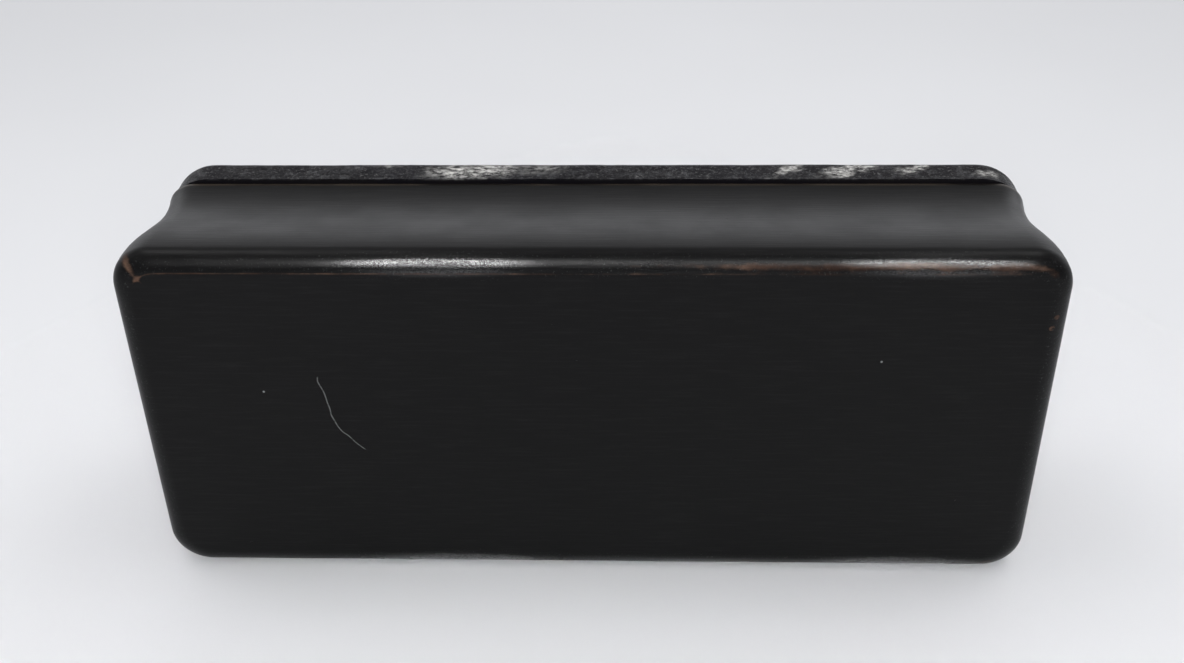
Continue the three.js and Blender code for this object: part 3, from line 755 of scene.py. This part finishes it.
def moulding_levels():
    """The casing's outline from the underside up to the joint with the lid."""
    levels = []
    for inset in CAP_RINGS:
        levels.append((UNDERSIDE_Y, HALF_X - inset, HALF_Z - inset, CAP_RADIUS))
    for step in range(EDGE_STEPS + 1):
        angle = step / EDGE_STEPS * math.pi / 2
        inset = EDGE_IN * (1 - math.sin(angle))
        y = UNDERSIDE_Y + EDGE_UP * (1 - math.cos(angle))
        levels.append((y, HALF_X - inset, HALF_Z - inset, CORNER_RADIUS - 0.6 * inset))
    start = UNDERSIDE_Y + EDGE_UP
    rise = JOINT_Y - start
    for step in range(1, COVE_STEPS + 1):
        share = step / COVE_STEPS * (1 - RIM_ROUND / rise)
        inset = NECK_INSET * math.sin(math.pi / 2 * share / NECK_SHARE) ** 2
        reach = min(share / NECK_SHARE, 1)
        radius = between((CORNER_RADIUS, NECK_RADIUS), reach)
        levels.append((start + rise * share, HALF_X - inset, HALF_Z - inset, radius))
    y, half_x, half_z, radius = levels[-1]
    for step in range(1, RIM_STEPS + 1):
        angle = step / RIM_STEPS * math.pi / 2
        inset = RIM_ROUND * (1 - math.cos(angle))
        rim_y = y + RIM_ROUND * math.sin(angle)
        levels.append((rim_y, half_x - inset, half_z - inset, radius - inset))
    return levels


def inset_at(x, z):
    """How far a point stands in from the base's outline."""
    reach_x = abs(x - MIDDLE_X) - (HALF_X - CORNER_RADIUS)
    reach_z = abs(z - MIDDLE_Z) - (HALF_Z - CORNER_RADIUS)
    outside = math.hypot(max(reach_x, 0), max(reach_z, 0))
    return CORNER_RADIUS - outside - min(max(reach_x, reach_z), 0)


def rear_corner(x, z):
    """1 along the rear corner of the side that faces up, and 0 away from it."""
    out_x = x - (MIDDLE_X - HALF_X + CORNER_RADIUS)
    out_z = z - (MIDDLE_Z + HALF_Z - CORNER_RADIUS)
    if out_x >= 0 or out_z <= 0:
        return 0
    return hump(math.atan2(out_z, out_x), STREAK_ANGLE, STREAK_WIDTH)


def mark_casing(obj):
    """Stores where the lacquer is worn through, with a painted floor reflection added along the edge
    at the table, where it is glossy and where the rim is.
    """
    data = obj.data
    wear_and_reflection = data.attributes.new("wear_and_reflection", "FLOAT", "POINT")
    gloss = data.attributes.new("gloss", "FLOAT", "POINT")
    rim = data.attributes.new("rim", "FLOAT", "POINT")
    for index, vertex in enumerate(data.vertices):
        x, y, z = vertex.co
        # How far round the edge: 0 at the flat underside, 1 at the side.
        turn = math.acos(clamped(1 - (y - UNDERSIDE_Y) / EDGE_UP)) / (math.pi / 2)
        near_edge = hump(max(inset_at(x, z) - EDGE_IN, 0), 0, FACE_FADE)
        low_edge = hump(z, MIDDLE_Z - HALF_Z, LOW_REACH)
        top_edge = hump(z, MIDDLE_Z + HALF_Z, TOP_REACH)
        across = max(abs(x - MIDDLE_X) - (HALF_X - CORNER_RADIUS), 0) / CORNER_RADIUS
        along = max(abs(z - MIDDLE_Z) - (HALF_Z - CORNER_RADIUS), 0) / CORNER_RADIUS
        corner = min(across, along)
        to_mouth = 0.5 + 0.5 * math.tanh((x - MIDDLE_X - WEAR_TURNS_AT) / WEAR_BLEND)
        line = between(LINE_WEAR, to_mouth) * hump(turn, *WORN_LINE)
        # At the edge at the table, the brown added here is partly a painted reflection of the floor.
        edge = between(EDGE_WEAR, to_mouth) + CORNER_WEAR * corner + LOW_EDGE_WEAR_AND_REFLECTION * low_edge
        edge *= hump(turn, *WORN_EDGE)
        streak = STREAK_WEAR * hump(y, UNDERSIDE_Y + STREAK_UP, STREAK_REACH) * rear_corner(x, z)
        rubbed = ENDS_RUBBED + TOP_RUBBED * top_edge + LOW_RUBBED_AND_REFLECTION * low_edge
        wear_and_reflection.data[index].value = min((line + edge) * near_edge * rubbed + streak, 1)
        share = (x - MIDDLE_X) / (2 * HALF_X) + 0.5
        handled = max(strength * hump(share, place, width) for place, width, strength in POLISHED)
        gloss.data[index].value = hump(turn, *GLOSSY_EDGE) * near_edge * between(GLOSS, handled)
        rim.data[index].value = hump(y, JOINT_Y, RIM_REACH)


def hinge_seats(side):
    """What is cut from the wood for the hinge: a seat for the leaf and a hollow round the pin."""
    reach = LEAF_THICKNESS + 2 * GLUE
    ends = sorted((JOINT_Y + side * reach, JOINT_Y - side * 1 * MM))
    pin_x = (PIN_LOW.x + PIN_HIGH.x) / 2
    seat = box_mesh(
        (pin_x, ends[0], LEAF_LOW.z - SLIP),
        (LEAF_HIGH.x + SLIP, ends[1], LEAF_HIGH.z + SLIP),
    )
    radius = pin_x - LEAF_LOW.x + SLIP
    middle = (pin_x, JOINT_Y, (LEAF_LOW.z + LEAF_HIGH.z) / 2)
    return seat, bar_mesh(middle, radius, LEAF_HIGH.z - LEAF_LOW.z + 2 * SLIP, "z")


def catch_seat(low, high):
    """The round hole that a catch's disc is glued into, open at the joint."""
    middle = (low + high) / 2
    return bar_mesh(middle, (high.x - low.x) / 2 + 2 * GLUE, high.y - low.y + 4 * GLUE, "y")


def on_mouth(point):
    """Whether a point lies on the sides or the top of the mouth."""
    on_side = abs(abs(point.z - MIDDLE_Z) - MOUTH_HALF_Z) < TOUCHING
    on_top = abs(point.y - MOUTH_TOP_Y) < TOUCHING
    return on_top or (on_side and point.y < MOUTH_TOP_Y + TOUCHING)


def is_mouth_edge(edge):
    """Whether an edge runs round the mouth, apart from the bottom edge at the base board."""
    points = [vertex.co for vertex in edge.verts]
    return all(map(on_mouth, points)) and any(point.y > BASE_TOP_Y + TOUCHING for point in points)


def build_casing():
    """The base board and the four walls, cut from one moulded block so that the lacquer runs on."""
    whole = loft(moulding_levels())

    base = whole.copy()
    keep_side(base, (0, BASE_TOP_Y, 0), (0, 1, 0))
    walls = whole
    keep_side(walls, (0, BASE_TOP_Y, 0), (0, -1, 0))

    low_z, high_z = MIDDLE_Z - INNER_HALF_Z, MIDDLE_Z + INNER_HALF_Z
    right_side = walls.copy()
    keep_side(right_side, (0, 0, high_z), (0, 0, -1))
    left_side = walls.copy()
    keep_side(left_side, (0, 0, low_z), (0, 0, 1))
    keep_side(walls, (0, 0, high_z), (0, 0, 1))
    keep_side(walls, (0, 0, low_z), (0, 0, -1))
    rear = walls.copy()
    keep_side(rear, (REAR_HIGH.x, 0, 0), (1, 0, 0))
    front = walls
    keep_side(front, (FRONT_LOW.x, 0, 0), (-1, 0, 0))

    pieces = {
        "base_board": base,
        "right_side_wall": right_side,
        "left_side_wall": left_side,
        "rear_wall": rear,
        "front_wall": front,
    }
    made = {}
    for node, mesh in pieces.items():
        made[node] = make_object(f"{node}_lacquered", mesh)

    mouth = box_mesh(
        (INNER_X - CUT_PAST, BASE_TOP_Y - CUT_PAST, MIDDLE_Z - MOUTH_HALF_Z),
        (FRONT_HIGH.x + CUT_PAST, MOUTH_TOP_Y, MIDDLE_Z + MOUTH_HALF_Z),
    )
    subtract(made["front_wall"], mouth)
    soften(made["front_wall"], MOUTH_ROUND, is_mouth_edge)
    subtract(made["rear_wall"], *hinge_seats(-1))
    subtract(made["front_wall"], catch_seat(MAGNET_LOW, MAGNET_HIGH))
    for node, obj in made.items():
        mark_casing(obj)
        finished(obj, "casing", [node], CASING)


# ---------- lid ----------


def lid_levels():
    """The lid's outline from the joint up to its face."""
    half_x = HALF_X - LID_INSET
    half_z = HALF_Z - LID_INSET
    levels = []

    def level(y, inset):
        """Adds one outline, standing in from the lid's sides."""
        levels.append((y, half_x - inset, half_z - inset, LID_CORNER_RADIUS - inset / 2))

    for step in range(RIM_STEPS + 1):
        angle = step / RIM_STEPS * math.pi / 2
        level(JOINT_Y + RIM_ROUND * (1 - math.cos(angle)), RIM_ROUND * (1 - math.sin(angle)))
    straight = LID_FACE_Y - LID_EDGE_RADIUS
    for step in range(1, LID_SIDE_STEPS):
        level(between((JOINT_Y + RIM_ROUND, straight), step / LID_SIDE_STEPS), 0)
    for step in range(LID_EDGE_STEPS + 1):
        angle = step / LID_EDGE_STEPS * math.pi / 2
        level(straight + LID_EDGE_RADIUS * math.sin(angle), LID_EDGE_RADIUS * (1 - math.cos(angle)))
    return levels


def ripple(obj):
    """Moves the lid's sides in and out along z, where lacquer ran and dried."""
    for vertex in obj.data.vertices:
        place = Vector(vertex.co)
        height = noise.noise(place * 70) * COARSE_RIPPLE + noise.noise(place * 240) * FINE_RIPPLE
        if place.y > JOINT_Y + RIM_ROUND:
            out = Vector((0, 0, place.z - MIDDLE_Z))
            vertex.co += out.normalized() * (height - RIPPLE_INSET)


def mark_lid(obj):
    """Stores at each vertex how far the lid takes rubbing and painted highlights: its outer sides, and
    not its recess.
    """
    rub_and_highlight = obj.data.attributes.new("rub_and_highlight", "FLOAT", "POINT")
    low, high = LINING_LOW, LINING_HIGH
    for index, vertex in enumerate(obj.data.vertices):
        x, y, z = vertex.co
        below_face = clamped((LID_FACE_Y - RUB_AND_HIGHLIGHT_START - y) / RUB_AND_HIGHLIGHT_FADE)
        above_joint = clamped((y - JOINT_Y) / RIM_ROUND)
        along = low.x - RECESS_MARGIN < x < high.x + RECESS_MARGIN
        across = low.z - RECESS_MARGIN < z < high.z + RECESS_MARGIN
        in_recess = along and across
        rub_and_highlight.data[index].value = 0 if in_recess else below_face * above_joint


def build_lid():
    """The lid board, with its recess and the seats of its hinge leaf and strike plate."""
    obj = make_object("lid_board_lacquered", loft(lid_levels()))
    ripple(obj)
    recess = box_mesh(
        (LINING_LOW.x - SLIP, JOINT_Y - CUT_PAST, LINING_LOW.z - SLIP),
        (LINING_HIGH.x + SLIP, LINING_HIGH.y + GLUE, LINING_HIGH.z + SLIP),
    )
    subtract(obj, recess, *hinge_seats(1), catch_seat(STRIKE_LOW, STRIKE_HIGH))
    mark_lid(obj)
    finished(obj, "lid", ["lid_board"], LID)


# ---------- the other pieces ----------


def refined(node, body, material, width):
    """A CAD node's own shape with its flat faces whole and its sharp edges rounded."""
    mesh = bmesh.new()
    mesh.from_mesh(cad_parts[node].data)
    bmesh.ops.remove_doubles(mesh, verts=mesh.verts, dist=WELD)
    bmesh.ops.dissolve_limit(
        mesh, angle_limit=math.radians(1), verts=mesh.verts, edges=mesh.edges
    )
    obj = make_object(f"{node}_finished", mesh, 35)
    soften(obj, width, angle=50, segments=2)
    finished(obj, body, [node], material)


def build_insides():
    """Every other piece, from the shape of its own CAD node."""
    casing = {
        "sill_block": ("casing_lacquer", CASING),
        "left_guide_board": ("inside_wood", BEECH),
        "right_guide_board": ("inside_wood", BEECH),
        "ramp_board": ("inside_wood", BEECH),
        "faceplate": ("dark_wood", WALNUT),
        "faceplate_cleat_left": ("dark_wood", WALNUT),
        "faceplate_cleat_right": ("dark_wood", WALNUT),
        "ramp_felt": ("felt", BAIZE),
        "rear_bumper": ("felt", BAIZE),
        "mouth_lip": ("brass", BRASS),
        "hinge_leaf_casing": ("brass", BRASS),
        "hinge_pin": ("steel", STEEL),
        "catch_magnet": ("steel", STEEL),
    }
    lid = {
        "lid_lining": ("felt", BAIZE),
        "strike_plate": ("steel", STEEL),
        "hinge_leaf_lid": ("brass", BRASS),
        "lid_knob": ("brass", BRASS),
        "lid_knob_screw": ("steel", STEEL),
    }
    follower = {
        "follower_block": ("dark_wood", WALNUT),
        "follower_felt": ("felt", BAIZE),
        "roller_axle": ("steel", STEEL),
        "roller_washer_left": ("bronze", BRONZE),
        "roller_washer_right": ("bronze", BRONZE),
    }
    for body, group in (("casing", casing), ("lid", lid), ("follower", follower)):
        for node, (slot, material) in group.items():
            low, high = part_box(node)
            width = THIN_ROUND if min(high - low) < THIN else EDGE_ROUND
            refined(node, body, material, width)
    refined("roller", "roller", STEEL, ROLLER_ROUND)
    # The screws, apart from the knob's, which is already finished and so hidden.
    for node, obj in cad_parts.items():
        if "screw" in node and not obj.hide_render:
            body = "lid" if node.startswith("lid") else "casing"
            refined(node, body, BRASS, SCREW_ROUND)


# ---------- floor, lights and camera ----------


def build_floor():
    """A wide sheet of paper at z 0."""
    mesh = bmesh.new()
    bmesh.ops.create_grid(mesh, x_segments=2, y_segments=2, size=FLOOR_SIZE)
    floor = make_object("floor", mesh)
    floor.data.materials.append(floor_paper())


def build_world():
    """Soft light from all round, which the shoe reflects."""
    world = bpy.data.worlds.new("studio")
    world.use_nodes = True
    bpy.context.scene.world = world
    tree = world.node_tree
    direction = tree.nodes.new("ShaderNodeTexCoord").outputs["Generated"]
    parts = tree.nodes.new("ShaderNodeSeparateXYZ")
    tree.links.new(direction, parts.inputs["Vector"])

    def share(source, low, high, out_low, out_high):
        """Maps low..high smoothly to out_low..out_high."""
        node = tree.nodes.new("ShaderNodeMapRange")
        node.interpolation_type = "SMOOTHSTEP"
        tree.links.new(source, node.inputs["Value"])
        for name, value in (
            ("From Min", low),
            ("From Max", high),
            ("To Min", out_low),
            ("To Max", out_high),
        ):
            node.inputs[name].default_value = value
        return node.outputs["Result"]

    # The paper sweep is bright low down behind the shoe; the room in front of it is dark.
    sweep = share(parts.outputs["Z"], 0.12, 0.5, SWEEP_LIGHT, ROOM_LIGHT)
    behind = share(parts.outputs["Y"], -0.3, 0.5, 0.0, 1.0)
    product = tree.nodes.new("ShaderNodeMath")
    product.operation = "MULTIPLY_ADD"
    tree.links.new(sweep, product.inputs[0])
    tree.links.new(behind, product.inputs[1])
    product.inputs[2].default_value = FRONT_LIGHT
    background = tree.nodes["Background"]
    background.inputs["Color"].default_value = (0.95, 0.96, 1.0, 1)

    # The camera sees the same pale paper all round.
    seen = tree.nodes.new("ShaderNodeMix")
    camera_ray = tree.nodes.new("ShaderNodeLightPath").outputs["Is Camera Ray"]
    tree.links.new(camera_ray, seen.inputs["Factor"])
    tree.links.new(product.outputs[0], seen.inputs[2])
    seen.inputs[3].default_value = PAPER_SEEN
    tree.links.new(seen.outputs[0], background.inputs["Strength"])


def area_light(name, place, size, power, spread):
    """A lamp that points at the middle of the floor and that the camera doesn't see."""
    data = bpy.data.lights.new(name, "AREA")
    data.shape = "RECTANGLE"
    data.size, data.size_y = size
    data.energy = power
    data.spread = math.radians(spread)
    obj = bpy.data.objects.new(name, data)
    bpy.context.scene.collection.objects.link(obj)
    obj.location = place
    obj.visible_camera = False
    obj.rotation_euler = (-Vector(place)).to_track_quat("-Z", "Y").to_euler()


def build_camera():
    """The camera, a little above the shoe and facing its underside."""
    edge_middle = Vector((MIDDLE_X, UNDERSIDE_Y, BASE_HIGH.z))
    data = bpy.data.cameras.new("camera")
    data.sensor_width = SENSOR_WIDTH
    data.lens = LENS
    camera = bpy.data.objects.new("camera", data)
    bpy.context.scene.collection.objects.link(camera)
    camera.location = edge_middle + CAMERA_PLACE * 2 * HALF_X
    aim = CAMERA_FORWARD.to_track_quat("-Z", "Y").to_matrix() @ Matrix.Rotation(CAMERA_ROLL, 3, "Z")
    camera.rotation_euler = aim.to_euler()
    bpy.context.scene.camera = camera


build_casing()
build_lid()
build_insides()
build_floor()
build_world()
for lamp in LAMPS:
    area_light(*lamp)
build_camera()
bpy.context.scene.view_settings.view_transform = "Standard"
